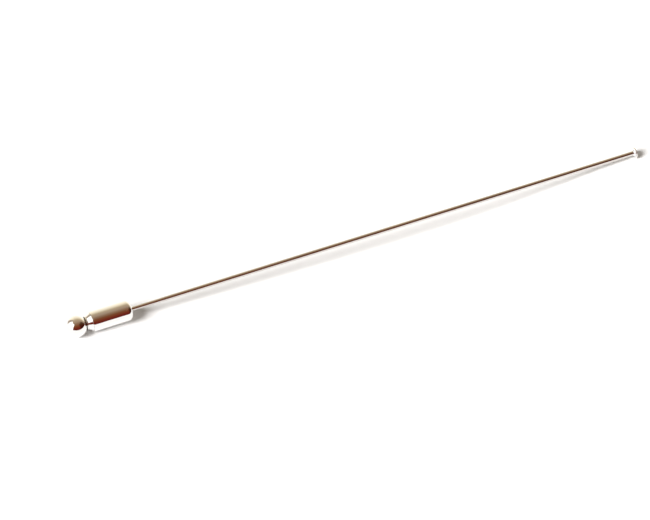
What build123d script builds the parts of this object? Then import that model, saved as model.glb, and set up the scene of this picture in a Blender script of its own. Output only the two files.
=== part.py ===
"""A stick pin: a needle with a disc head, and a pull-release clutch on its point.

Millimetres. X runs along the needle from the head to the point, Z is up, and the origin
is the centre of the head's outer face. Every turned piece is a profile drawn in XZ above
the X axis and revolved round it.
"""
from build123d import *
from math import cos, radians, sin, sqrt, tan
import os

# ---- the pin: a drawn wire with a disc soldered on one end and a ground point on the other
SHANK_R = 0.45
SPIGOT_R = 0.28
TAIL_R = 0.42
TIP_R = 0.05
SPIGOT_START = 0.10
SHANK_START = 0.60
SHANK_END = 100.0
TAIL_START = 101.0
POINT_START = 112.5
POINT_END = 117.5

# ---- the head
HEAD_R = 1.10
HEAD_THICK = 0.25
HEAD_EDGE = 0.08
SOLDER_R = 0.80
SOLDER_FLANK_R = 0.45

# ---- the clutch's shell
BARREL_START = 106.9
SHOULDER_START = 114.55
BARREL_END = 115.0
BARREL_R = 2.00
BARREL_BORE_R = 1.65
NOSE_ROUND = 1.00
NOSE_WALL = 0.55
ENTRY_R = 0.58
ENTRY_CHAMFER = 0.17
LIP_R = 1.90
FIT_GAP = 0.01

# ---- the ball lock inside it
BALL_R = 0.40
BALL_COUNT = 3
BALL_PLAY = 0.015
BALL_X = 108.85
TAPER_ANGLE = 10.0
SLEEVE_START = 107.5
SLEEVE_END = 110.2
CAGE_START = 108.1
CAGE_BORE_R = 0.55
CAGE_R = 0.97
POCKET_R = 0.42
FLANGE_START = 110.65
FLANGE_END = 111.05
FLANGE_R = 1.50
STEM_R = 0.85
STEM_END = 117.5

# ---- the spring behind the cage
SPRING_WIRE_R = 0.125
SPRING_MEAN_R = 1.20
SPRING_TURNS = 4.0

# ---- the rear bush, whose cone and rim show between the shell and the knob
BUSH_START = 113.8
RIM_START = 115.95
BUSH_END = 116.15
BUSH_BORE_R = 0.90
CONE_R = 1.85
NECK_R = 1.27
RIM_R = 1.38
RIM_ROUND = 0.08

# ---- the pull knob
KNOB_R = 2.10
KNOB_CENTRE = 117.9
KNOB_FACE = 116.35
SOCKET_R = 0.86
SOCKET_END = 117.6
WELL_R = 0.60
WELL_END = 118.4

BALL_ORBIT_R = TAIL_R + BALL_R + BALL_PLAY
TAPER_R_AT_BALL = BALL_ORBIT_R + (BALL_R + BALL_PLAY) / cos(radians(TAPER_ANGLE))
HALF_TURN = sqrt(0.5)

os.makedirs("parts", exist_ok=True)


def taper_radius(x):
    """The sleeve's bore radius at a place along the needle: it narrows towards the nose."""
    return TAPER_R_AT_BALL + (x - BALL_X) * tan(radians(TAPER_ANGLE))


def outward(number):
    """The direction in which one of the balls stands off the needle, the first one upwards."""
    angle = radians(360 * number / BALL_COUNT)
    return Vector(0, sin(angle), cos(angle))


def finish_part(piece, name):
    piece.label = name
    export_step(piece, f"parts/{name}.step")
    box = piece.bounding_box()
    print(f"{name}: {piece.volume:.3f} mm3, x {box.min.X:.2f} to {box.max.X:.2f}")


# ---- needle: spigot, shank, a slightly slimmer tail and a ground point with a rounded tip
with BuildPart() as needle:
    with BuildSketch(Plane.XZ):
        with BuildLine():
            Polyline(
                (POINT_END, 0),
                (SPIGOT_START, 0),
                (SPIGOT_START, SPIGOT_R),
                (SHANK_START, SPIGOT_R),
                (SHANK_START, SHANK_R),
                (SHANK_END, SHANK_R),
                (TAIL_START, TAIL_R),
                (POINT_START, TAIL_R),
                (POINT_END - TIP_R, TIP_R),
            )
            tip_middle = (POINT_END - TIP_R + TIP_R * HALF_TURN, TIP_R * HALF_TURN)
            ThreePointArc((POINT_END - TIP_R, TIP_R), tip_middle, (POINT_END, 0))
        make_face()
    revolve(axis=Axis.X)
finish_part(needle.part, "needle")

# ---- head_disc: a thin flat disc with eased edges and a blind socket for the spigot
with BuildPart() as head_disc:
    with BuildSketch(Plane.YZ):
        Circle(HEAD_R)
    extrude(amount=HEAD_THICK)
    fillet(head_disc.edges().filter_by(GeomType.CIRCLE), radius=HEAD_EDGE)
    with BuildSketch(Plane.YZ.offset(SPIGOT_START)):
        Circle(SPIGOT_R)
    extrude(amount=HEAD_THICK - SPIGOT_START, mode=Mode.SUBTRACT)
finish_part(head_disc.part, "head_disc")

# ---- head_solder: a ring with a hollow flank, round the spigot and against the disc
with BuildPart() as head_solder:
    with BuildSketch(Plane.XZ):
        with BuildLine():
            RadiusArc((HEAD_THICK, SOLDER_R), (SHANK_START, SHANK_R), -SOLDER_FLANK_R)
            Polyline(
                (SHANK_START, SHANK_R),
                (SHANK_START, SPIGOT_R),
                (HEAD_THICK, SPIGOT_R),
                (HEAD_THICK, SOLDER_R),
            )
        make_face()
    revolve(axis=Axis.X)
finish_part(head_solder.part, "head_solder")

# ---- barrel: a drawn cup with a rounded nose, a small entry hole and a spun-in rear lip
with BuildPart() as barrel:
    with BuildSketch(Plane.XZ):
        with BuildLine():
            nose_start = (BARREL_START, BARREL_R - NOSE_ROUND)
            nose_end = (BARREL_START + NOSE_ROUND, BARREL_R)
            nose_dip = NOSE_ROUND * (1 - HALF_TURN)
            ThreePointArc(nose_start, (BARREL_START + nose_dip, BARREL_R - nose_dip), nose_end)
            Line(nose_end, (SHOULDER_START, BARREL_R))
            TangentArc((SHOULDER_START, BARREL_R), (BARREL_END, LIP_R), tangent=(1, 0))
            Polyline(
                (BARREL_END, LIP_R),
                (BARREL_END, BARREL_BORE_R),
                (BARREL_START + NOSE_WALL, BARREL_BORE_R),
                (BARREL_START + NOSE_WALL, ENTRY_R),
                (BARREL_START + ENTRY_CHAMFER, ENTRY_R),
                (BARREL_START, ENTRY_R + ENTRY_CHAMFER),
                nose_start,
            )
        make_face()
    revolve(axis=Axis.X)
finish_part(barrel.part, "barrel")

# ---- taper_sleeve: fixed in the nose; its bore is the ramp that the balls wedge against
with BuildPart() as taper_sleeve:
    with BuildSketch(Plane.XZ):
        Polygon(
            (SLEEVE_START, taper_radius(SLEEVE_START)),
            (SLEEVE_START, BARREL_BORE_R - FIT_GAP),
            (SLEEVE_END, BARREL_BORE_R - FIT_GAP),
            (SLEEVE_END, taper_radius(SLEEVE_END)),
            align=None,
        )
    revolve(axis=Axis.X)
finish_part(taper_sleeve.part, "taper_sleeve")

# ---- ball_cage: one turned plunger, with pockets, a spring flange and a stem for the knob
with BuildPart() as ball_cage:
    with BuildSketch(Plane.XZ):
        Polygon(
            (CAGE_START, CAGE_BORE_R),
            (CAGE_START, CAGE_R),
            (FLANGE_START, CAGE_R),
            (FLANGE_START, FLANGE_R),
            (FLANGE_END, FLANGE_R),
            (FLANGE_END, STEM_R),
            (STEM_END, STEM_R),
            (STEM_END, CAGE_BORE_R),
            align=None,
        )
    revolve(axis=Axis.X)
    for number in range(BALL_COUNT):
        with BuildSketch(Plane(origin=(BALL_X, 0, 0), z_dir=outward(number))):
            Circle(POCKET_R)
        extrude(amount=FLANGE_R, mode=Mode.SUBTRACT)
finish_part(ball_cage.part, "ball_cage")

# ---- ball_1 to ball_3: bought steel balls, one in each pocket
for number in range(BALL_COUNT):
    centre = Vector(BALL_X, 0, 0) + outward(number) * BALL_ORBIT_R
    with BuildPart(Plane(origin=centre)) as ball:
        Sphere(BALL_R)
    finish_part(ball.part, f"ball_{number + 1}")

# ---- spring: a helix of round wire between the cage's flange and the bush
spring_start = FLANGE_END + SPRING_WIRE_R + FIT_GAP
spring_length = BUSH_START - SPRING_WIRE_R - FIT_GAP - spring_start
with BuildPart() as spring:
    with BuildLine():
        coil = Helix(
            pitch=spring_length / SPRING_TURNS,
            height=spring_length,
            radius=SPRING_MEAN_R,
            center=(spring_start, 0, 0),
            direction=(1, 0, 0),
        )
    with BuildSketch(Plane(origin=coil @ 0, z_dir=coil % 0)):
        Circle(SPRING_WIRE_R)
    sweep(path=coil, is_frenet=True)
finish_part(spring.part, "spring")

# ---- rear_bush: a spigot in the shell's bore, then a cone, a neck and a thin rim
with BuildPart() as rear_bush:
    with BuildSketch(Plane.XZ):
        Polygon(
            (BUSH_START, BUSH_BORE_R),
            (BUSH_START, BARREL_BORE_R - FIT_GAP),
            (BARREL_END, BARREL_BORE_R - FIT_GAP),
            (BARREL_END, CONE_R),
            (RIM_START, NECK_R),
            (RIM_START, RIM_R),
            (BUSH_END, RIM_R),
            (BUSH_END, BUSH_BORE_R),
            align=None,
        )
    revolve(axis=Axis.X)
    rings = rear_bush.edges().filter_by(GeomType.CIRCLE)
    fillet(rings.filter_by(lambda ring: abs(ring.radius - RIM_R) < FIT_GAP), radius=RIM_ROUND)
finish_part(rear_bush.part, "rear_bush")

# ---- knob: a ball cut off flat, with a socket for the stem and a well for the point
with BuildPart() as knob:
    with BuildSketch(Plane.XZ):
        with BuildLine():
            face_r = sqrt(KNOB_R**2 - (KNOB_CENTRE - KNOB_FACE) ** 2)
            ThreePointArc((KNOB_FACE, face_r), (KNOB_CENTRE, KNOB_R), (KNOB_CENTRE + KNOB_R, 0))
            Polyline(
                (KNOB_CENTRE + KNOB_R, 0),
                (WELL_END, 0),
                (WELL_END, WELL_R),
                (SOCKET_END, WELL_R),
                (SOCKET_END, SOCKET_R),
                (KNOB_FACE, SOCKET_R),
                (KNOB_FACE, face_r),
            )
        make_face()
    revolve(axis=Axis.X)
finish_part(knob.part, "knob")
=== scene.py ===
# %% [markdown]
# # A stick pin and its pull-release clutch
#
# The object is a long needle with a small disc on one end. A ball-lock clutch sits on the
# point. You push the clutch on and it grips; you pull its ball knob and it lets go.
# Nearly every piece is turned, so this lesson is mostly about one tool, the lathe, and
# about how polished metal gets its look from what stands around it.
#
# The CAD model is loaded first. It is the frame that all the finer pieces sit on, so no
# position is guessed: each piece asks the frame where its own CAD node starts and ends.

import math

import bmesh
import bpy
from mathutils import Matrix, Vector, noise


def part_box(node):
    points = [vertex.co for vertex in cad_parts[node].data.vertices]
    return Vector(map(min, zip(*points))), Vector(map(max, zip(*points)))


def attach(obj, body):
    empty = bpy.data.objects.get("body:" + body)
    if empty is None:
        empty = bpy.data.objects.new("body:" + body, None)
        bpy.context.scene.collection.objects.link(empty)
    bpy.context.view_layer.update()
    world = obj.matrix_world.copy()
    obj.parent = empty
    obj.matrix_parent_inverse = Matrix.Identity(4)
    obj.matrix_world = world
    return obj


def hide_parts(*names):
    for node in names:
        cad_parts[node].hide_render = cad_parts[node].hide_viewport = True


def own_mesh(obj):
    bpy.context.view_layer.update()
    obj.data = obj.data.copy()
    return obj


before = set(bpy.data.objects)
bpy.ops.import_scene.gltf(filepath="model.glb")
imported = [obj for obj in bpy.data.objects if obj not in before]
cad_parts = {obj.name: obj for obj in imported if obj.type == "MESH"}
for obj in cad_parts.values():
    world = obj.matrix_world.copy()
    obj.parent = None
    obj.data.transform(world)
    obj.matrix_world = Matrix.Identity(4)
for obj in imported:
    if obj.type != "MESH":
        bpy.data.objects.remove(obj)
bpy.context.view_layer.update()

MM = 0.001
print("nodes:", sorted(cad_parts))

# %% [markdown]
# The pin lies along X, with its head at zero. These places along the needle come from the
# CAD boxes, in millimetres, because a turned piece this small is easier to think of that
# way. The lathe further down turns millimetres into Blender's metres.

# %% Places along the needle
def reach(node):
    """Where a node starts and ends along the needle, in millimetres."""
    low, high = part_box(node)
    return low.x / MM, high.x / MM


needle_start, needle_end = reach("needle")
head_start, head_end = reach("head_disc")
solder_end = reach("head_solder")[1]
barrel_start, barrel_end = reach("barrel")
sleeve_start, sleeve_end = reach("taper_sleeve")
cage_start, cage_end = reach("ball_cage")
spring_start, spring_end = reach("spring")
bush_start, bush_end = reach("rear_bush")
knob_start, knob_end = reach("knob")
print(f"the clutch is {knob_end - barrel_start:.1f} mm long, the whole pin {knob_end:.1f} mm")

# %% [markdown]
# ## The camera
#
# A long lens from far away keeps the needle the same width from end to end, which a short
# lens close up would not. The camera looks down at 44 degrees, from the side where the
# clutch is the nearer end. It could be placed by hand, but an angle, a height and a
# distance say more to the next reader than three coordinates do.

# %% Place the camera
CAMERA_TURN = math.radians(155.81)
CAMERA_HEIGHT = math.radians(44.0)
CAMERA_DISTANCE = 0.70
CAMERA_LENS = 203.23
CAMERA_AIM = Vector((0.06814, 0.00279, 0.0))

towards_camera = Vector((
    math.sin(CAMERA_TURN) * math.cos(CAMERA_HEIGHT),
    -math.cos(CAMERA_TURN) * math.cos(CAMERA_HEIGHT),
    math.sin(CAMERA_HEIGHT),
))
camera_data = bpy.data.cameras.new("camera")
camera_data.lens = CAMERA_LENS
camera_data.clip_start = 0.01
camera_data.clip_end = 20.0
camera = bpy.data.objects.new("camera", camera_data)
camera.location = CAMERA_AIM + towards_camera * CAMERA_DISTANCE
camera.rotation_euler = (-towards_camera).to_track_quat("-Z", "Y").to_euler()
bpy.context.scene.collection.objects.link(camera)
bpy.context.scene.camera = camera
print("camera at", [round(c, 3) for c in camera.location])

# %% [markdown]
# ## The sheet it lies on
#
# The pin rests on two points only: the rim of its head and its ball knob. The knob is
# wider, so the needle is a little higher at that end, and the floor is tipped by the same
# half degree to touch both. Paper is never quite flat, so the sheet also has a shallow
# hollow under the needle, nearer the head than the knob, which lets the needle's shadow
# drift away from it there. The height is a formula here, so that the mesh below can have
# as many points as it likes.

# %% Shape the sheet
HOLLOW_DEPTH = 2.3 * MM
HOLLOW_PLACE = 0.33
HOLLOW_STEEPNESS = 1.5
HOLLOW_WIDTH = 45 * MM

head_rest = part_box("head_disc")[0].z
knob_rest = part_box("knob")[0].z
knob_middle = (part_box("knob")[0].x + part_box("knob")[1].x) / 2
needle_middle = knob_middle / 2


def sheet_height(x, y):
    """The sheet's height: a tipped plane, with a hollow between the two points of rest."""
    plane = head_rest + (knob_rest - head_rest) * x / knob_middle
    deepest = HOLLOW_PLACE * knob_middle
    run = deepest if x < deepest else knob_middle - deepest
    along = min(1.0, abs(x - deepest) / run)
    across = math.exp(-((y / HOLLOW_WIDTH) ** 2))
    return plane - HOLLOW_DEPTH * across * (1.0 - along**2) ** HOLLOW_STEEPNESS


print(f"the sheet drops {(head_rest - knob_rest) / MM:.2f} mm from head to knob")

# %% [markdown]
# A grid carries the shape well. Its lines crowd together near the pin, where the hollow
# needs them, and spread out towards the horizon, where nothing happens. Blender's own grid
# spaces its lines evenly, so this one is laid out line by line.

# %% Lay out the sheet
SHEET_REACH = 3.0
SHEET_LINES = 141


def spread(step):
    """Grid lines from minus to plus the sheet's reach, closest together in the middle."""
    share = 2 * step / (SHEET_LINES - 1) - 1
    return SHEET_REACH * share * abs(share) ** 2


sheet_mesh = bmesh.new()
rows = []
for i in range(SHEET_LINES):
    x = needle_middle + spread(i)
    places = [spread(j) for j in range(SHEET_LINES)]
    rows.append([sheet_mesh.verts.new((x, y, sheet_height(x, y))) for y in places])
for i in range(SHEET_LINES - 1):
    for j in range(SHEET_LINES - 1):
        corners = (rows[i][j], rows[i + 1][j], rows[i + 1][j + 1], rows[i][j + 1])
        sheet_mesh.faces.new(corners).smooth = True
sheet_data = bpy.data.meshes.new("paper_sheet")
sheet_mesh.to_mesh(sheet_data)
sheet_mesh.free()
paper_sheet = bpy.data.objects.new("paper_sheet", sheet_data)
bpy.context.scene.collection.objects.link(paper_sheet)
print("the sheet has", len(sheet_data.polygons), "faces")

# %% [markdown]
# ## A small kit for finishes
#
# Every finish below is built from nodes, so these helpers keep that readable. `Finish`
# starts a Principled shader and adds nodes by plain name. Sizes inside a finish are in
# millimetres: the object's own coordinates are in metres, and one Mapping node multiplies
# them by a thousand.

# %% Helpers for finishes
class Finish:
    """A material under construction, with the shader it ends in."""

    def __init__(self, name, colour, metallic, roughness):
        self.material = bpy.data.materials.new(name)
        self.material.use_nodes = True
        self.tree = self.material.node_tree
        self.shader = self.tree.nodes["Principled BSDF"]
        self.shader.inputs["Base Color"].default_value = (*colour, 1.0)
        self.shader.inputs["Metallic"].default_value = metallic
        self.shader.inputs["Roughness"].default_value = roughness

    def add(self, kind, **settings):
        """Adds a node and sets its properties."""
        node = self.tree.nodes.new(kind)
        for key, value in settings.items():
            setattr(node, key, value)
        return node

    def join(self, source, target):
        """Links an output socket to an input socket."""
        self.tree.links.new(source, target)

    def place(self, stretch=(1, 1, 1)):
        """Object coordinates in millimetres, each axis multiplied by its stretch."""
        coordinates = self.add("ShaderNodeTexCoord")
        mapping = self.add("ShaderNodeMapping")
        mapping.inputs["Scale"].default_value = [s / MM for s in stretch]
        self.join(coordinates.outputs["Object"], mapping.inputs["Vector"])
        return mapping.outputs["Vector"]

    def grain(self, scale, detail=3.0, stretch=(1, 1, 1), distortion=0.0):
        """Smooth noise, from 0 to 1; scale is in waves per millimetre."""
        texture = self.add("ShaderNodeTexNoise")
        texture.inputs["Scale"].default_value = scale
        texture.inputs["Detail"].default_value = detail
        texture.inputs["Distortion"].default_value = distortion
        self.join(self.place(stretch), texture.inputs["Vector"])
        return texture.outputs["Fac"]

    def between(self, value, low, high, out_low=0.0, out_high=1.0):
        """Stretches a value's part between low and high over a new range, with soft ends."""
        node = self.add("ShaderNodeMapRange", interpolation_type="SMOOTHSTEP")
        node.inputs["From Min"].default_value = low
        node.inputs["From Max"].default_value = high
        node.inputs["To Min"].default_value = out_low
        node.inputs["To Max"].default_value = out_high
        self.join(value, node.inputs["Value"])
        return node.outputs["Result"]

    def sum(self, first, second, operation="ADD"):
        """Adds two values, or joins them by another operation; the second may be a number."""
        node = self.add("ShaderNodeMath", operation=operation)
        self.join(first, node.inputs[0])
        if isinstance(second, (int, float)):
            node.inputs[1].default_value = second
        else:
            self.join(second, node.inputs[1])
        return node.outputs[0]

    def blend(self, share, first, second):
        """A colour between two colours; the first may be a socket."""
        node = self.add("ShaderNodeMix", data_type="RGBA")
        self.join(share, node.inputs["Factor"])
        for socket, colour in ((node.inputs["A"], first), (node.inputs["B"], second)):
            if isinstance(colour, tuple):
                socket.default_value = (*colour, 1.0)
            else:
                self.join(colour, socket)
        return node.outputs["Result"]

    def hairlines(self, scale, stretch=(1, 1, 1), width=0.012):
        """Fine curved scratches: the thin level lines of a wandering noise."""
        noise_value = self.grain(scale, detail=1.5, stretch=stretch, distortion=1.2)
        off_middle = self.sum(self.sum(noise_value, 0.5, "SUBTRACT"), 0.0, "ABSOLUTE")
        return self.between(off_middle, 0.0, width, 1.0, 0.0)

    def emboss(self, height, depth_mm, strength=1.0):
        """Turns a height into a bump of the given depth."""
        bump = self.add("ShaderNodeBump")
        bump.inputs["Strength"].default_value = strength
        bump.inputs["Distance"].default_value = depth_mm * MM
        self.join(height, bump.inputs["Height"])
        self.join(bump.outputs["Normal"], self.shader.inputs["Normal"])


print("a finish can:", [word for word in vars(Finish) if not word.startswith("_")])

# %% [markdown]
# The sheet is plain white card. It needs very little: a slow, faint change of tone and a
# shallow fibre tooth, both from the same noise. Left perfectly even it would look like
# paint on glass, and a strong grain would compete with the small pin that lies on it.

# %% White card
def paper_finish():
    """White card: nearly matt, with a faint fibre tooth."""
    paper = Finish("white_paper", (0.93, 0.93, 0.93), 0.0, 0.85)
    fibre = paper.grain(0.8, detail=6.0)
    tint = paper.blend(fibre, (0.90, 0.90, 0.90), (0.95, 0.95, 0.95))
    paper.join(tint, paper.shader.inputs["Base Color"])
    paper.emboss(fibre, 0.02, 0.3)
    return paper.material


paper_sheet.data.materials.append(paper_finish())
print("the sheet is", paper_sheet.active_material.name)

# %% [markdown]
# ## The light, and what the metal sees
#
# Polished metal has hardly any look of its own: it shows the room. This room is dark and
# warm behind the camera, it turns through tan to cream overhead, and it is bright at the
# back and to the left, where a wide window is. That is why the shell has a pale top, a
# brown middle and, below a crisp line, the white sheet. The room could be an image, but
# a few colours on a ramp are enough and are easier to change.
#
# The ramp follows the angle round the needle, from level in front (0), over the top (0.5)
# to level at the back (1). A long round thing mirrors just that angle, so this one ramp
# sets nearly all of what the barrel and the wire show.

# %% Colour the room from front to back
ROOM_COLOURS = (
    (0.00, (0.140, 0.020, 0.014)),
    (0.14, (0.185, 0.026, 0.013)),
    (0.26, (0.225, 0.070, 0.027)),
    (0.38, (0.280, 0.160, 0.092)),
    (0.50, (0.410, 0.300, 0.205)),
    (0.62, (0.500, 0.380, 0.250)),
    (0.71, (0.780, 0.670, 0.460)),
    (0.80, (1.020, 0.910, 0.710)),
    (1.00, (1.300, 1.200, 1.050)),
)

world = bpy.data.worlds.new("room")
bpy.context.scene.world = world
world.use_nodes = True
room = world.node_tree
room.nodes.clear()


def room_node(kind, **settings):
    """Adds a node to the room and sets its properties."""
    node = room.nodes.new(kind)
    for key, value in settings.items():
        setattr(node, key, value)
    return node


direction = room_node("ShaderNodeTexCoord").outputs["Generated"]
axes = room_node("ShaderNodeSeparateXYZ")
room.links.new(direction, axes.inputs[0])
angle = room_node("ShaderNodeMath", operation="ARCTAN2")
room.links.new(axes.outputs["Z"], angle.inputs[0])
room.links.new(axes.outputs["Y"], angle.inputs[1])
half_turns = room_node("ShaderNodeMath", operation="DIVIDE")
half_turns.inputs[1].default_value = math.pi
room.links.new(angle.outputs[0], half_turns.inputs[0])
ramp = room_node("ShaderNodeValToRGB")
room.links.new(half_turns.outputs[0], ramp.inputs["Fac"])
stops = ramp.color_ramp.elements
while len(stops) < len(ROOM_COLOURS):
    stops.new(0.5)
for stop, (place, colour) in zip(stops, ROOM_COLOURS):
    stop.position = place
    stop.color = (*colour, 1.0)
print("the room has", len(stops), "colours from front to back")

# %% [markdown]
# The knob is round in every direction, so it also shows what stands along the room's sides.
# Three soft-edged rectangles stand there, placed by the angle round the room and the height
# above the horizon: a dark wall to the right, a grey curtain, and the window itself. They
# could be glowing planes in the scene, but then the other views would see them.

# %% Hang the wall, the curtain and the window
WALL_COLOUR = (0.34, 0.31, 0.31)
CURTAIN_COLOUR = (0.44, 0.37, 0.30)
WINDOW_COLOUR = (1.45, 1.45, 1.42)

round_room = room_node("ShaderNodeMath", operation="ARCTAN2")
room.links.new(axes.outputs["Y"], round_room.inputs[0])
room.links.new(axes.outputs["X"], round_room.inputs[1])
above_horizon = room_node("ShaderNodeMath", operation="ARCSINE")
room.links.new(axes.outputs["Z"], above_horizon.inputs[0])


def within(angle_node, middle, half, soft):
    """One inside the band of degrees, zero outside it, with a soft edge between."""
    offset = room_node("ShaderNodeMath", operation="SUBTRACT")
    offset.inputs[1].default_value = math.radians(middle)
    room.links.new(angle_node.outputs[0], offset.inputs[0])
    distance = room_node("ShaderNodeMath", operation="ABSOLUTE")
    room.links.new(offset.outputs[0], distance.inputs[0])
    band = room_node("ShaderNodeMapRange", interpolation_type="SMOOTHSTEP")
    band.inputs["From Min"].default_value = math.radians(half + soft)
    band.inputs["From Max"].default_value = math.radians(half - soft)
    room.links.new(distance.outputs[0], band.inputs["Value"])
    return band.outputs["Result"]


def panel(behind, colour, turn, rise, soft, blend_type):
    """Lays a soft-edged rectangle of colour over the room; turn and rise are (middle, half)."""
    share = room_node("ShaderNodeMath", operation="MULTIPLY")
    room.links.new(within(round_room, *turn, soft), share.inputs[0])
    room.links.new(within(above_horizon, *rise, soft), share.inputs[1])
    laid = room_node("ShaderNodeMix", data_type="RGBA", blend_type=blend_type)
    laid.inputs["B"].default_value = (*colour, 1.0)
    room.links.new(share.outputs[0], laid.inputs["Factor"])
    room.links.new(behind, laid.inputs["A"])
    return laid.outputs["Result"]


walls = panel(ramp.outputs["Color"], WALL_COLOUR, (145, 30), (18, 34), 9, "MULTIPLY")
curtained = panel(walls, CURTAIN_COLOUR, (-52, 13), (28, 38), 4, "DARKEN")
lit_room = panel(curtained, WINDOW_COLOUR, (-3, 37), (24, 32), 3, "MIX")
print("the wall, the curtain and the window hang in the room")

# %% [markdown]
# Not everything should see that room. Matt things see an even grey in its place, which
# keeps the shadows on the paper neutral, and the camera sees plain pale space past the
# paper's far edge. The Light Path node tells which kind of ray is asking, so one world
# can give three answers.

# %% Choose who sees the room
EVEN_GREY = (0.195, 0.172, 0.148)
PALE_SPACE = (0.96, 0.96, 0.955)

ray = room_node("ShaderNodeLightPath")
for_matt = room_node("ShaderNodeMix", data_type="RGBA")
for_matt.inputs["B"].default_value = (*EVEN_GREY, 1.0)
room.links.new(ray.outputs["Is Diffuse Ray"], for_matt.inputs["Factor"])
room.links.new(lit_room, for_matt.inputs["A"])
for_camera = room_node("ShaderNodeMix", data_type="RGBA")
for_camera.inputs["B"].default_value = (*PALE_SPACE, 1.0)
room.links.new(ray.outputs["Is Camera Ray"], for_camera.inputs["Factor"])
room.links.new(for_matt.outputs["Result"], for_camera.inputs["A"])
background = room_node("ShaderNodeBackground")
room.links.new(for_camera.outputs["Result"], background.inputs["Color"])
world_output = room_node("ShaderNodeOutputWorld")
room.links.new(background.outputs[0], world_output.inputs["Surface"])
print("the room has", len(room.nodes), "nodes")

# %% [markdown]
# The window also has to throw the shadows. A wide, soft sun lamp does that from the same
# side. An area lamp would do too, but a sun lights the whole sheet evenly. It is hidden
# from reflections, where the window already stands for it. A second, much weaker one from
# the front keeps the shadow along the barrel thin.

# %% Light it from the window
LAMP_WHITE = (1.0, 0.995, 0.99)
SUN_TURN = math.radians(14)
SUN_RISE = math.radians(37)
towards_sun = Vector((
    math.cos(SUN_TURN) * math.cos(SUN_RISE),
    math.sin(SUN_TURN) * math.cos(SUN_RISE),
    math.sin(SUN_RISE),
))
towards_front = Vector((0.0, 1.0, 1.0))


def soft_sun(name, towards, energy, degrees):
    """A sun lamp that lights matt surfaces and is not mirrored in the metal."""
    data = bpy.data.lights.new(name, "SUN")
    data.energy = energy
    data.angle = math.radians(degrees)
    data.color = LAMP_WHITE
    lamp = bpy.data.objects.new(name, data)
    lamp.rotation_euler = (-towards).to_track_quat("-Z", "Y").to_euler()
    lamp.visible_glossy = False
    bpy.context.scene.collection.objects.link(lamp)


soft_sun("window_light", towards_sun, energy=5.3, degrees=30)
soft_sun("front_fill", towards_front, energy=0.36, degrees=60)
bpy.context.scene.view_settings.view_transform = "Standard"

# %% [markdown]
# ## The finishes
#
# One plated shell finish covers the barrel, the bush and the knob. It has four layers of
# detail. A slow drift of tone, because plating is never one colour. A soft haze where it
# has been handled. Hairline scratches, finer than a tenth of a millimetre. And wear on the
# corners, where the white plating thins and the brass below warms it. The lathe marks each
# corner it rounds with an attribute called `corner`, and the wear reads that. Faces in the
# narrow gap at the knob are marked with minus one instead, for painted shade: a dark brown
# base colour and a rougher surface stand in for the shadow in that gap.

# %% Plated finishes
SILVER = (0.90, 0.885, 0.86)
SILVER_COOL = (0.86, 0.865, 0.87)
BRASS_GLOW = (0.83, 0.70, 0.47)
# Painted shade: the dark brown that stands in for the shadow in the gap at the knob.
PAINTED_GAP_SHADE = (0.13, 0.085, 0.06)


def worn_corner(finish, amount):
    """How far the plating is worn: only on corners, and unevenly along them."""
    corner = finish.add("ShaderNodeAttribute", attribute_name="corner")
    patchy = finish.between(finish.grain(2.2, detail=4.0), 0.42, 0.66, 0.0, amount)
    return finish.sum(corner.outputs["Fac"], patchy, "MULTIPLY")


def painted_gap_shade(finish):
    """One on the faces marked for painted shade in the gap at the knob, zero elsewhere."""
    corner = finish.add("ShaderNodeAttribute", attribute_name="corner")
    return finish.between(corner.outputs["Fac"], -0.9, -0.1, 1.0, 0.0)


def plated_finish(name, haze, ring_depth_mm, wear):
    """White-metal plating over turned brass: a mirror with slight lathe rings under it."""
    plate = Finish(name, SILVER, 1.0, haze)
    tone = plate.between(plate.grain(0.35, detail=2.0), 0.35, 0.65)
    colour = plate.blend(tone, SILVER, SILVER_COOL)
    worn = plate.blend(worn_corner(plate, wear), colour, BRASS_GLOW)
    # Painted shade: the faces in the gap at the knob are darkened to brown and roughened.
    recess = painted_gap_shade(plate)
    plate.join(plate.blend(recess, worn, PAINTED_GAP_SHADE), plate.shader.inputs["Base Color"])
    handled = plate.between(plate.grain(0.9, detail=3.0), 0.48, 0.75, haze * 0.6, haze * 2.2)
    scratches = plate.hairlines(1.6, stretch=(0.35, 1.0, 1.0))
    marks = plate.sum(plate.sum(scratches, 0.05, "MULTIPLY"), plate.sum(recess, 0.35, "MULTIPLY"))
    roughness = plate.sum(handled, marks)
    plate.join(roughness, plate.shader.inputs["Roughness"])
    rings = plate.grain(9.0, detail=2.0, stretch=(1.0, 0.03, 0.03))
    plate.emboss(plate.sum(rings, plate.sum(scratches, -0.5, "MULTIPLY")), ring_depth_mm, 0.35)
    return plate.material


shell_finish = plated_finish("plated_shell", haze=0.045, ring_depth_mm=0.0006, wear=0.55)
head_finish = plated_finish("plated_head", haze=0.09, ring_depth_mm=0.0010, wear=0.35)
print("plated finishes:", shell_finish.name, head_finish.name)

# %% [markdown]
# The needle is drawn through a die, not turned, so its fine lines run along it. Noise
# stretched a long way in X does that: high detail round the wire, almost none along it.
# The ground point has rings instead, which is what a grinding wheel leaves.

# %% Drawn wire
WIRE_GREY = (0.68, 0.65, 0.62)
WIRE_DARK = (0.62, 0.60, 0.58)


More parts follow.
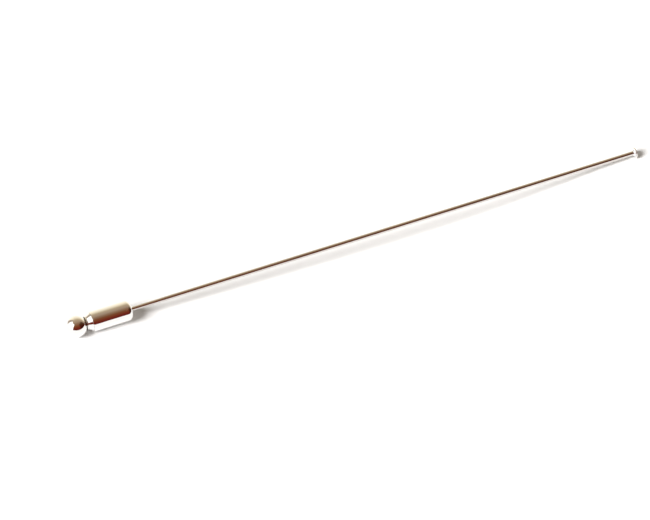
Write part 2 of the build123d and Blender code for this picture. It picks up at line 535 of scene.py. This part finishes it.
def wire_finish():
    """Plated steel wire with die lines along it."""
    wire = Finish("plated_wire", WIRE_GREY, 1.0, 0.07)
    tone = wire.between(wire.grain(0.05, detail=3.0), 0.35, 0.65)
    plating = wire.blend(tone, WIRE_GREY, WIRE_DARK)
    wire.join(plating, wire.shader.inputs["Base Color"])
    die_lines = wire.grain(7.0, detail=3.0, stretch=(0.01, 1.0, 1.0))
    rubs = wire.hairlines(1.2, stretch=(0.12, 1.0, 1.0), width=0.02)
    wire.join(
        wire.sum(wire.between(die_lines, 0.3, 0.7, 0.04, 0.11), wire.sum(rubs, 0.06, "MULTIPLY")),
        wire.shader.inputs["Roughness"],
    )
    wire.emboss(wire.sum(die_lines, wire.sum(rubs, -0.4, "MULTIPLY")), 0.0010, 0.4)
    return wire.material


needle_finish = wire_finish()
print("needle finish:", needle_finish.name)

# %% [markdown]
# The solder ring is bright but uneven: it froze as a liquid. It gets a soft, slow bump and
# small pits. The pits come from the same kind of noise, by keeping only its lowest part.

# %% Solder
SOLDER_WHITE = (0.86, 0.87, 0.89)


def solder_finish():
    """Silver solder: bright, slightly rippled, with pinholes."""
    solder = Finish("bright_solder", SOLDER_WHITE, 1.0, 0.16)
    flow = solder.grain(1.8, detail=2.0)
    pits = solder.between(solder.grain(6.0, detail=2.0), 0.22, 0.32, 1.0, 0.0)
    colour = solder.blend(pits, SOLDER_WHITE, (0.62, 0.61, 0.60))
    solder.join(colour, solder.shader.inputs["Base Color"])
    solder.join(solder.between(flow, 0.3, 0.7, 0.08, 0.26), solder.shader.inputs["Roughness"])
    solder.emboss(solder.sum(flow, solder.sum(pits, -0.6, "MULTIPLY")), 0.02, 0.5)
    return solder.material


solder_material = solder_finish()
print("solder:", len(solder_material.node_tree.nodes), "nodes")

# %% [markdown]
# The pieces inside the clutch are never plated. The cage and the sleeve are bare brass
# straight off the lathe, with clear rings round the axis and a little tarnish. The rings
# are noise squeezed in X and drawn out round it, as on the shell but coarser.

# %% Turned brass
def brass_finish():
    """Bare turned brass: rings round the axis, and a warm, slightly tarnished tone."""
    brass = Finish("turned_brass", (0.80, 0.60, 0.30), 1.0, 0.20)
    rings = brass.grain(6.0, detail=4.0, stretch=(1.0, 0.02, 0.02))
    tarnish = brass.between(brass.grain(0.8, detail=4.0), 0.45, 0.7)
    colour = brass.blend(tarnish, (0.82, 0.63, 0.33), (0.62, 0.43, 0.20))
    brass.join(colour, brass.shader.inputs["Base Color"])
    brass.join(brass.between(rings, 0.3, 0.7, 0.12, 0.30), brass.shader.inputs["Roughness"])
    brass.emboss(rings, 0.004, 0.5)
    return brass.material


brass_material = brass_finish()
print("brass:", len(brass_material.node_tree.nodes), "nodes")

# %% [markdown]
# The spring is hard drawn steel wire. Heat treatment leaves blue and straw patches on it,
# so it is two greys blended by noise, and its fine grain is rougher than the shell's.

# %% Spring steel
def spring_finish():
    """Drawn spring steel, a touch blued by its heat treatment."""
    steel = Finish("spring_steel", (0.50, 0.50, 0.52), 1.0, 0.25)
    blued = steel.between(steel.grain(0.9, detail=3.0), 0.4, 0.65)
    colour = steel.blend(blued, (0.55, 0.54, 0.53), (0.40, 0.42, 0.47))
    steel.join(colour, steel.shader.inputs["Base Color"])
    drawn = steel.grain(8.0, detail=3.0)
    steel.join(steel.between(drawn, 0.3, 0.7, 0.18, 0.34), steel.shader.inputs["Roughness"])
    steel.emboss(drawn, 0.002, 0.4)
    return steel.material


spring_material = spring_finish()
print("spring steel:", len(spring_material.node_tree.nodes), "nodes")

# %% [markdown]
# The balls are hardened, ground and polished. The only marks on them are fine scuffs from
# rolling up and down the taper, which are the same curved hairlines as on the shell.

# %% Ball steel
BALL_STEEL = (0.72, 0.72, 0.74)


def ball_finish():
    """Hardened and polished steel, with a few scuffs from the taper."""
    steel = Finish("hard_steel", BALL_STEEL, 1.0, 0.05)
    scuffs = steel.hairlines(2.5, width=0.02)
    colour = steel.blend(scuffs, BALL_STEEL, (0.60, 0.60, 0.62))
    steel.join(colour, steel.shader.inputs["Base Color"])
    steel.join(steel.between(scuffs, 0.0, 1.0, 0.04, 0.20), steel.shader.inputs["Roughness"])
    steel.emboss(scuffs, -0.001, 0.4)
    return steel.material


ball_material = ball_finish()
print("ball steel:", len(ball_material.node_tree.nodes), "nodes")

# %% [markdown]
# ## The lathe
#
# A turned piece is an outline spun round the needle's axis. The Screw modifier or Spin
# could do it, but here the mesh is made ring by ring, for two reasons. Each corner can be
# eased by its own radius, as a real tool or a polishing wheel does, and the rings on a
# corner can be marked so that the finish knows where it wears.
#
# An outline is a list of points: the place along the axis, the radius there, and the wear.
# Its large round parts are arcs. A mirror shows each flat between two points, so an arc
# takes more points the longer it is.

# %% Arcs
KEEP_CLOSE = 0.012


def arc(centre, radius, start_degrees, end_degrees):
    """Points on an arc of the outline, close enough together for a mirror to look smooth."""
    length = radius * math.radians(abs(end_degrees - start_degrees))
    steps = max(6, math.ceil(length / (4 * KEEP_CLOSE)))
    points = []
    for step in range(steps + 1):
        turn = math.radians(start_degrees + (end_degrees - start_degrees) * step / steps)
        points.append((centre[0] + radius * math.cos(turn), centre[1] + radius * math.sin(turn), 0.0))
    return points


print("a quarter round of 1 mm has", len(arc((0, 0), 1, 90, 0)), "points")

# %% [markdown]
# The rest of an outline is given by its corners alone, each with the radius that rounds
# it. `eased` puts in the small arc between the two straight stretches that meet there. A
# Bevel modifier does the same for a whole mesh, but with one width for all its corners.

# %% Eased corners
EASE_STEPS = 7


def eased(corners):
    """An outline through corners (place, radius, easing), as points (place, radius, wear)."""
    points = []
    last = len(corners) - 1
    for index, (x, r, easing) in enumerate(corners):
        if easing == 0 or index in (0, last):
            points.append((x, r, 0.0))
            continue
        here = Vector((x, r))
        back = (Vector(corners[index - 1][:2]) - here).normalized()
        ahead = (Vector(corners[index + 1][:2]) - here).normalized()
        half = back.angle(ahead) / 2
        middle = here + (back + ahead).normalized() * (easing / math.sin(half))
        first = here + back * (easing / math.tan(half)) - middle
        final = here + ahead * (easing / math.tan(half)) - middle
        sweep = first.angle(final)
        for step in range(EASE_STEPS + 1):
            share = step / EASE_STEPS
            leaving = first * math.sin((1 - share) * sweep)
            arriving = final * math.sin(share * sweep)
            spoke = (leaving + arriving) / math.sin(sweep)
            points.append((middle.x + spoke.x, middle.y + spoke.y, 1.0))
    return points


print("a square corner eased by 0.1 mm has", len(eased([(0, 0, 0), (1, 0, 0.1), (1, 1, 0)])) - 2, "points")

# %% [markdown]
# Smooth shading blends over a whole face, so a long flat next to a small round corner would
# look bent. `held` puts a ring close to both ends of every straight stretch: it keeps the
# curved shading on the corner and off the flat, as support loops do in hand modelling.

# %% Rings that hold a flat
def held(points):
    """The same outline with an extra point close to each end of every long stretch."""
    result = [points[0]]
    for before, after in zip(points, points[1:]):
        length = math.dist(before[:2], after[:2])
        if length > 5 * KEEP_CLOSE:
            for share in (KEEP_CLOSE / length, 1 - KEEP_CLOSE / length):
                place = before[0] + (after[0] - before[0]) * share
                radius = before[1] + (after[1] - before[1]) * share
                result.append((place, radius, 0.0))
        result.append(after)
    return result


print("a straight stretch of 1 mm has", len(held([(0, 1, 0), (1, 1, 0)])), "points")

# %% [markdown]
# A bmesh becomes an object in one last step that every piece shares. All its faces are
# smooth, and the edges between faces that meet at more than 32 degrees are marked sharp,
# so that the shading breaks there as it does on a real cut edge.

# %% Settle a mesh into an object
SHARP_TURN = math.radians(32)


def settle(name, mesh):
    """Finishes a bmesh as an object: smooth faces, and sharp edges where it turns hard."""
    for face in mesh.faces:
        face.smooth = True
    for edge in mesh.edges:
        if len(edge.link_faces) == 2 and edge.calc_face_angle() > SHARP_TURN:
            edge.smooth = False
    data = bpy.data.meshes.new(name)
    mesh.to_mesh(data)
    mesh.free()
    piece = bpy.data.objects.new(name, data)
    bpy.context.scene.collection.objects.link(piece)
    return piece


print(f"edges are sharp above {math.degrees(SHARP_TURN):.0f} degrees")

# %% [markdown]
# `turn` spins an outline. Where a point lies on the axis the ring closes to a single
# vertex, which makes a clean pole. A tube's outline is a loop, so its last point joins its
# first. The wear goes onto the vertices as the `corner` attribute that the finishes read.

# %% Spin an outline
ON_AXIS = 1e-6


def turn(name, outline, around, loop=False):
    """Spins an outline in millimetres round X and returns the piece."""
    points = held(outline + outline[:1]) if loop else held(outline)
    if loop:
        points = points[:-1]
    mesh = bmesh.new()
    corner = mesh.verts.layers.float.new("corner")
    rings = []
    for x, r, wear in points:
        if r < ON_AXIS:
            ring = [mesh.verts.new((x * MM, 0, 0))]
        else:
            spokes = [2 * math.pi * k / around for k in range(around)]
            ring = [mesh.verts.new((x * MM, r * MM * math.cos(a), r * MM * math.sin(a))) for a in spokes]
        for vert in ring:
            vert[corner] = wear
        rings.append(ring)
    pairs = list(zip(rings, rings[1:]))
    if loop:
        pairs.append((rings[-1], rings[0]))
    for first, second in pairs:
        for k in range(around):
            nxt = (k + 1) % around
            if len(first) == 1:
                mesh.faces.new((first[0], second[k], second[nxt]))
            elif len(second) == 1:
                mesh.faces.new((first[k], second[0], first[nxt]))
            else:
                mesh.faces.new((first[k], second[k], second[nxt], first[nxt]))
    bmesh.ops.recalc_face_normals(mesh, faces=mesh.faces)
    return settle(name, mesh)


print("the lathe is ready")

# %% [markdown]
# Two last helpers are used once a piece is shaped. The first puts minus one on a face in the
# narrow gap at the knob, where the finish paints shade. `fit` gives a piece its finish, sets it
# on the body it rides on, and hides the CAD node that it stands in for.

# %% Mark a recess and fit a piece
SAME_PLACE = 0.002


def mark_painted_shade(piece, place):
    """Marks the flat face at this place along the needle for painted shade."""
    corner = piece.data.attributes["corner"]
    for vert in piece.data.vertices:
        if abs(vert.co.x / MM - place) < SAME_PLACE:
            corner.data[vert.index].value = -1.0


def fit(piece, node, body, material):
    """Gives a piece its finish, sets it on its CAD body and lets it stand for its node."""
    piece.data.materials.append(material)
    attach(piece, body)
    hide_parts(node)
    size = piece.dimensions / MM
    print(f"{piece.name}: {size.x:.2f} x {size.y:.2f} x {size.z:.2f} mm, {len(piece.data.polygons)} faces")


print("a face is in the recess within", SAME_PLACE, "mm of its place")

# %% [markdown]
# ## The needle
#
# One drawn wire, 0.9 mm across. Its end under the solder is turned down to a small spigot
# that sits in the disc. Just before the clutch the wire slims by a few hundredths, so that
# the clutch slides on easily, and it ends in a ground point. All of this is one outline.
# The long shank gets extra rings, so that its faces aren't a hundred times longer than
# they are wide, which upsets shading and later texture baking.

# %% Turn the needle
SHANK_R = 0.45
SPIGOT_R = 0.28
TAIL_R = 0.42
SHANK_END = 100.0
TAIL_START = 101.0
POINT_START = 112.5
TIP_R = 0.05
SHANK_RINGS = 60

shank_rings = [
    (solder_end + (SHANK_END - solder_end) * step / SHANK_RINGS, SHANK_R, 0.0)
    for step in range(1, SHANK_RINGS)
]
needle_root = eased([
    (needle_start, 0, 0),
    (needle_start, SPIGOT_R, 0.04),
    (solder_end, SPIGOT_R, 0),
    (solder_end, SHANK_R, 0.02),
    (SHANK_END, SHANK_R, 0),
])[:-1]
needle_point = eased([
    (SHANK_END, SHANK_R, 0),
    (TAIL_START, TAIL_R, 0.6),
    (POINT_START, TAIL_R, 6.0),
    (needle_end - TIP_R, TIP_R, 0),
])[:-1]
needle_tip = arc((needle_end - TIP_R, 0), TIP_R, 90, 0)
drawn_needle = turn("drawn_needle", needle_root + shank_rings + needle_point + needle_tip, around=40)
fit(drawn_needle, "needle", "pin", needle_finish)

# %% [markdown]
# ## The head
#
# A stamped disc, 2.2 mm across and a quarter of a millimetre thick. Stamping leaves one
# edge slightly rolled and polishing rounds both, so both get a soft easing. Its outer face
# is the one that a stone, a bead cap or a charm is glued to, and it stays flat.

# %% Turn the head disc
HEAD_R = 1.10
HEAD_EDGE = 0.08

stamped_head = turn("stamped_head", eased([
    (head_start, 0, 0),
    (head_start, HEAD_R, HEAD_EDGE),
    (head_end, HEAD_R, HEAD_EDGE),
    (head_end, SPIGOT_R, 0.02),
    (needle_start, SPIGOT_R, 0),
    (needle_start, 0, 0),
]), around=72)
fit(stamped_head, "head_disc", "pin", head_finish)

# %% [markdown]
# ## The solder ring
#
# Solder wets both metals and pulls itself into a hollow flank. It is turned like the rest,
# and then each vertex on the flank is pushed in or out a little by smooth noise, because no
# soldered joint runs quite true. The noise is a fixed function of place, so that it comes
# out the same every time.

# %% Turn and unsettle the solder
SOLDER_R = 0.80
FLANK_R = 0.45
UNEVEN = 0.06
WAVES_PER_MM = 1.7

flank_chord = Vector((solder_end - head_end, SHANK_R - SOLDER_R))
flank_middle = Vector((head_end, SOLDER_R)) + flank_chord / 2
flank_out = Vector((-flank_chord.y, flank_chord.x)).normalized()
flank_depth = math.sqrt(FLANK_R**2 - (flank_chord.length / 2) ** 2)
flank_centre = flank_middle + flank_out * flank_depth
from_centre = Vector((head_end, SOLDER_R)) - flank_centre
to_shank = Vector((solder_end, SHANK_R)) - flank_centre
flank = arc(
    flank_centre,
    FLANK_R,
    math.degrees(math.atan2(from_centre.y, from_centre.x)),
    math.degrees(math.atan2(to_shank.y, to_shank.x)),
)
solder_ring = turn(
    "solder_ring",
    flank + [(solder_end, SPIGOT_R, 0.0), (head_end, SPIGOT_R, 0.0)],
    around=72,
    loop=True,
)
for vert in solder_ring.data.vertices:
    radius = math.hypot(vert.co.y, vert.co.z) / MM
    if radius > SHANK_R + 0.01:
        push = 1 + UNEVEN * noise.noise(vert.co / MM * WAVES_PER_MM)
        vert.co.y *= push
        vert.co.z *= push
fit(solder_ring, "head_solder", "pin", solder_material)

# %% [markdown]
# ## The clutch's shell
#
# The barrel is a drawn brass cup. Its nose is well rounded, so that it doesn't mark the
# cloth it is pushed against, and it has a small countersunk hole that guides the point in.
# The rear lip is spun in a little over the bush. The outline goes round the outside from
# the hole to the lip and comes back along the bore, as a closed loop, so the shell has a
# real wall and can be looked into when the clutch is off the needle.

# %% Turn the barrel
BARREL_R = 2.00
BORE_R = 1.65
NOSE_ROUND = 1.00
NOSE_WALL = 0.55
ENTRY_R = 0.58
COUNTERSINK = 0.17
LIP_R = 1.90
LIP_LENGTH = 0.45

lip_arc_r = (LIP_LENGTH**2 + (BARREL_R - LIP_R) ** 2) / (2 * (BARREL_R - LIP_R))
lip_start = barrel_end - LIP_LENGTH
lip_end_degrees = 90 - math.degrees(math.asin(LIP_LENGTH / lip_arc_r))
barrel_outline = (
    eased([
        (barrel_start + NOSE_WALL, ENTRY_R, 0),
        (barrel_start + COUNTERSINK, ENTRY_R, 0.03),
        (barrel_start, ENTRY_R + COUNTERSINK, 0.04),
        (barrel_start, BARREL_R - NOSE_ROUND, 0),
    ])
    + arc((barrel_start + NOSE_ROUND, BARREL_R - NOSE_ROUND), NOSE_ROUND, 180, 90)[1:]
    + arc((lip_start, BARREL_R - lip_arc_r), lip_arc_r, 90, lip_end_degrees)
    + eased([
        (barrel_end - 0.005, LIP_R - 0.02, 0),
        (barrel_end, BORE_R + 0.06, 0.02),
        (barrel_end, BORE_R, 0.02),
        (barrel_start + NOSE_WALL, BORE_R, 0),
    ])
)
clutch_barrel = turn("clutch_barrel", barrel_outline, around=128, loop=True)
fit(clutch_barrel, "barrel", "clutch", shell_finish)

# %% [markdown]
# ## The rear bush
#
# Behind the lip the bush shows as a short cone that necks down to a thin bright rim. The
# knob closes against that rim. The cone's easing and the groove in front of the rim are
# tiny, but on a mirror they are what makes the dark and bright bands between the shell and
# the knob.

# %% Turn the rear bush
CONE_R = 1.85
NECK_R = 1.27
RIM_R = 1.38
RIM_WIDTH = 0.20
RIM_ROUND = 0.07
STEM_BORE_R = 0.90
FIT_GAP = 0.01

rear_bush = turn("turned_bush", eased([
    (bush_start, STEM_BORE_R, 0),
    (bush_start, BORE_R - FIT_GAP, 0.05),
    (barrel_end, BORE_R - FIT_GAP, 0),
    (barrel_end, CONE_R, 0.03),
    (bush_end - RIM_WIDTH, NECK_R, 0.05),
    (bush_end - RIM_WIDTH, RIM_R, RIM_ROUND),
    (bush_end, RIM_R, RIM_ROUND),
    (bush_end, STEM_BORE_R, 0),
]), around=112, loop=True)
# Painted shade on the bush's end face, in the gap at the knob.
mark_painted_shade(rear_bush, bush_end)
fit(rear_bush, "rear_bush", "clutch", shell_finish)

# %% [markdown]
# ## The knob
#
# A ball, cut off flat where it meets the bush, with a stepped hole in the cut face: the
# stem is pressed into the wide part and the needle's point ends in the narrow part. The
# sharp edge round the cut is broken a little, as a turner does with a file. Turning the
# knob as an outline with many points on its round side keeps the reflection of the room
# smooth, which a low sphere would not.

# %% Turn the knob
KNOB_R = 2.10
SOCKET_R = 0.86
SOCKET_DEPTH = 1.25
WELL_R = 0.60
WELL_DEPTH = 2.05
EDGE_BREAK = 0.05
EDGE_BREAK_DEGREES = 1.5

knob_centre = knob_end - KNOB_R
face_offset = knob_centre - knob_start
face_degrees = 180 - math.degrees(math.acos(face_offset / KNOB_R))
face_r = math.sqrt(KNOB_R**2 - face_offset**2)
knob_hole = eased([
    (knob_start + WELL_DEPTH, 0, 0),
    (knob_start + WELL_DEPTH, WELL_R, 0),
    (knob_start + SOCKET_DEPTH, WELL_R, 0),
    (knob_start + SOCKET_DEPTH, SOCKET_R, 0),
    (knob_start, SOCKET_R, 0.03),
    (knob_start, face_r - EDGE_BREAK, 0),
])
knob_ball = arc((knob_centre, 0), KNOB_R, face_degrees - EDGE_BREAK_DEGREES, 0)
pull_knob = turn("pull_knob", knob_hole + knob_ball, around=128)
# Painted shade on the knob's cut face, in the gap at the bush.
mark_painted_shade(pull_knob, knob_start)
fit(pull_knob, "knob", "plunger", shell_finish)

# %% [markdown]
# ## The ball lock
#
# The taper sleeve is the ramp that squeezes the balls onto the needle. Its bore leans by
# ten degrees, and each ball has to lie on it just so, or it would dig in or hang loose. So
# the bore's radius is worked out from where a ball stands at rest, not typed in.

# %% Turn the taper sleeve
TAPER_DEGREES = 10.0
BALL_R = 0.40
BALL_PLAY = 0.015

ball_x = sum(reach("ball_1")) / 2
ball_orbit = TAIL_R + BALL_R + BALL_PLAY
taper_at_ball = ball_orbit + (BALL_R + BALL_PLAY) / math.cos(math.radians(TAPER_DEGREES))


def taper_radius(x):
    """The sleeve's bore radius: it narrows towards the nose."""
    return taper_at_ball + (x - ball_x) * math.tan(math.radians(TAPER_DEGREES))


taper_sleeve = turn("turned_sleeve", eased([
    (sleeve_start, taper_radius(sleeve_start), 0),
    (sleeve_start, BORE_R - FIT_GAP, 0.05),
    (sleeve_end, BORE_R - FIT_GAP, 0.05),
    (sleeve_end, taper_radius(sleeve_end), 0),
]), around=96, loop=True)
fit(taper_sleeve, "taper_sleeve", "clutch", brass_material)

# %% [markdown]
# The cage is a tube that carries the balls. It has a flange for the spring to push on and a
# stem that runs out through the bush into the knob. It is turned here, and its pockets are
# drilled in the next step.

# %% Turn the cage
CAGE_BORE_R = 0.55
CAGE_R = 0.97
FLANGE_WIDTH = 0.40
FLANGE_R = 1.50
STEM_R = 0.85

flange_end = spring_start - FIT_GAP
flange_start = flange_end - FLANGE_WIDTH
turned_cage = turn("turned_cage", eased([
    (cage_start, CAGE_BORE_R, 0),
    (cage_start, CAGE_R, 0.06),
    (flange_start, CAGE_R, 0.04),
    (flange_start, FLANGE_R, 0.05),
    (flange_end, FLANGE_R, 0.05),
    (flange_end, STEM_R, 0.04),
    (cage_end, STEM_R, 0.04),
    (cage_end, CAGE_BORE_R, 0),
]), around=96, loop=True)
print(f"the flange is {flange_start:.2f} to {flange_end:.2f} mm along the needle")

# %% [markdown]
# The cage has one radial pocket for each ball. Drilling is a Boolean: a drill-shaped
# cylinder for each pocket is taken away from the cage, and the result is kept as plain
# mesh. Cutting the pockets vertex by vertex would be cleaner but far more work, and they
# are small and deep inside.

# %% Drill the pockets
BALLS = 3
POCKET_R = 0.42


def outward(number):
    """The direction in which one of the balls stands off the needle, the first upwards."""
    angle = 2 * math.pi * number / BALLS
    return Vector((0, math.sin(angle), math.cos(angle)))


def drill(piece, place, way, radius, depth):
    """Takes a round hole out of a piece, from place along way."""
    tool = bmesh.new()
    bmesh.ops.create_cone(tool, cap_ends=True, segments=64, radius1=radius, radius2=radius, depth=depth)
    turned = Vector((0, 0, 1)).rotation_difference(way).to_matrix().to_4x4()
    turned.translation = place + way * depth / 2
    tool.transform(turned)
    data = bpy.data.meshes.new("drill")
    tool.to_mesh(data)
    tool.free()
    bit = bpy.data.objects.new("drill", data)
    bpy.context.scene.collection.objects.link(bit)
    cut = piece.modifiers.new("pocket", "BOOLEAN")
    cut.operation = "DIFFERENCE"
    cut.solver = "EXACT"
    cut.object = bit
    bpy.context.view_layer.update()
    shaped = bpy.data.meshes.new_from_object(piece.evaluated_get(bpy.context.evaluated_depsgraph_get()))
    piece.modifiers.remove(cut)
    piece.data = shaped
    bpy.data.objects.remove(bit)


for number in range(BALLS):
    pocket_start = Vector((ball_x * MM, 0, 0)) + outward(number) * CAGE_BORE_R * MM * 0.5
    drill(turned_cage, pocket_start, outward(number), POCKET_R * MM, FLANGE_R * MM)
fit(turned_cage, "ball_cage", "plunger", brass_material)

# %% [markdown]
# ## The balls
#
# A ball made from rings pinches its mesh at two poles. One made from a cube whose faces
# are divided and blown out to the same radius has no poles, so it reflects evenly from
# every side. Each ball rides on its own body, because each climbs the ramp its own way.

# %% Blow up three cubes
BALL_CUTS = 15


def quad_ball(name, centre, radius):
    """A ball with no poles: a divided cube, with each vertex moved out to the radius."""
    mesh = bmesh.new()
    bmesh.ops.create_cube(mesh, size=2.0)
    bmesh.ops.subdivide_edges(mesh, edges=mesh.edges[:], cuts=BALL_CUTS, use_grid_fill=True)
    for vert in mesh.verts:
        evened = Vector([math.tan(c * math.pi / 4) for c in vert.co])
        vert.co = centre + evened.normalized() * radius
    return settle(name, mesh)


for number in range(BALLS):
    ball_centre = (Vector((ball_x, 0, 0)) + outward(number) * ball_orbit) * MM
    steel_ball = quad_ball(f"steel_ball_{number + 1}", ball_centre, BALL_R * MM)
    fit(steel_ball, f"ball_{number + 1}", f"lock_ball_{number + 1}", ball_material)

# %% [markdown]
# ## The spring
#
# A real compression spring ends in a dead coil that lies against its neighbour, ground
# flat so that it pushes squarely. A curve with a bevel can't grind its ends, so the wire
# is made as rings of vertices along the helix. The pitch is one wire width in the first
# and last turn and wider between. Any vertex that would stand past an end is pressed back
# to it, and that is the grinding.

# %% Work out the pitch
WIRE_R = 0.125
COIL_R = 1.20
DEAD_TURNS = 1.0
ACTIVE_TURNS = 4.0
LEFT_BY_GRINDING = 0.7
COIL_CLEARANCE = 1.02

dead_pitch = 2 * WIRE_R * COIL_CLEARANCE
coil_travel = spring_end - spring_start - 2 * WIRE_R * LEFT_BY_GRINDING
active_pitch = (coil_travel - 2 * DEAD_TURNS * dead_pitch) / ACTIVE_TURNS


def coil_place(turns):
    """How far along the needle the wire's centre has come after some turns."""
    first = min(turns, DEAD_TURNS) * dead_pitch
    middle = min(max(turns - DEAD_TURNS, 0), ACTIVE_TURNS) * active_pitch
    last = max(turns - DEAD_TURNS - ACTIVE_TURNS, 0) * dead_pitch
    return spring_start + WIRE_R * LEFT_BY_GRINDING + first + middle + last


print(f"pitch {dead_pitch:.2f} mm in the dead turns, {active_pitch:.2f} mm between them")

# %% [markdown]
# Now the wire follows that path. At each step round the helix a ring of vertices stands
# across it, and the rings are joined into a tube with a cap at both ends. The rings lie in
# the plane through the needle's axis, which for such a gentle helix is near enough square
# to the wire.

# %% Wind the spring
STEPS_PER_TURN = 48
WIRE_SIDES = 18

spring_mesh = bmesh.new()
coil_rings = []
total_turns = 2 * DEAD_TURNS + ACTIVE_TURNS
for step in range(int(total_turns * STEPS_PER_TURN) + 1):
    turns = step / STEPS_PER_TURN
    spoke = Vector((0, math.sin(2 * math.pi * turns), math.cos(2 * math.pi * turns)))
    centre = Vector((coil_place(turns), 0, 0)) + spoke * COIL_R
    ring = []
    for side in range(WIRE_SIDES):
        a = 2 * math.pi * side / WIRE_SIDES
        place = centre + (spoke * math.cos(a) + Vector((1, 0, 0)) * math.sin(a)) * WIRE_R
        place.x = min(max(place.x, spring_start), spring_end)
        ring.append(spring_mesh.verts.new(place * MM))
    coil_rings.append(ring)
for first, second in zip(coil_rings, coil_rings[1:]):
    for side in range(WIRE_SIDES):
        nxt = (side + 1) % WIRE_SIDES
        spring_mesh.faces.new((first[side], second[side], second[nxt], first[nxt]))
for end_ring in (coil_rings[0], coil_rings[-1]):
    spring_mesh.faces.new(end_ring)
bmesh.ops.recalc_face_normals(spring_mesh, faces=spring_mesh.faces)
wound_spring = settle("wound_spring", spring_mesh)
fit(wound_spring, "spring", "clutch", spring_material)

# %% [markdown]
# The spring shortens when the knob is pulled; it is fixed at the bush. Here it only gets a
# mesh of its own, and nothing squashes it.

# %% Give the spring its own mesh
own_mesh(wound_spring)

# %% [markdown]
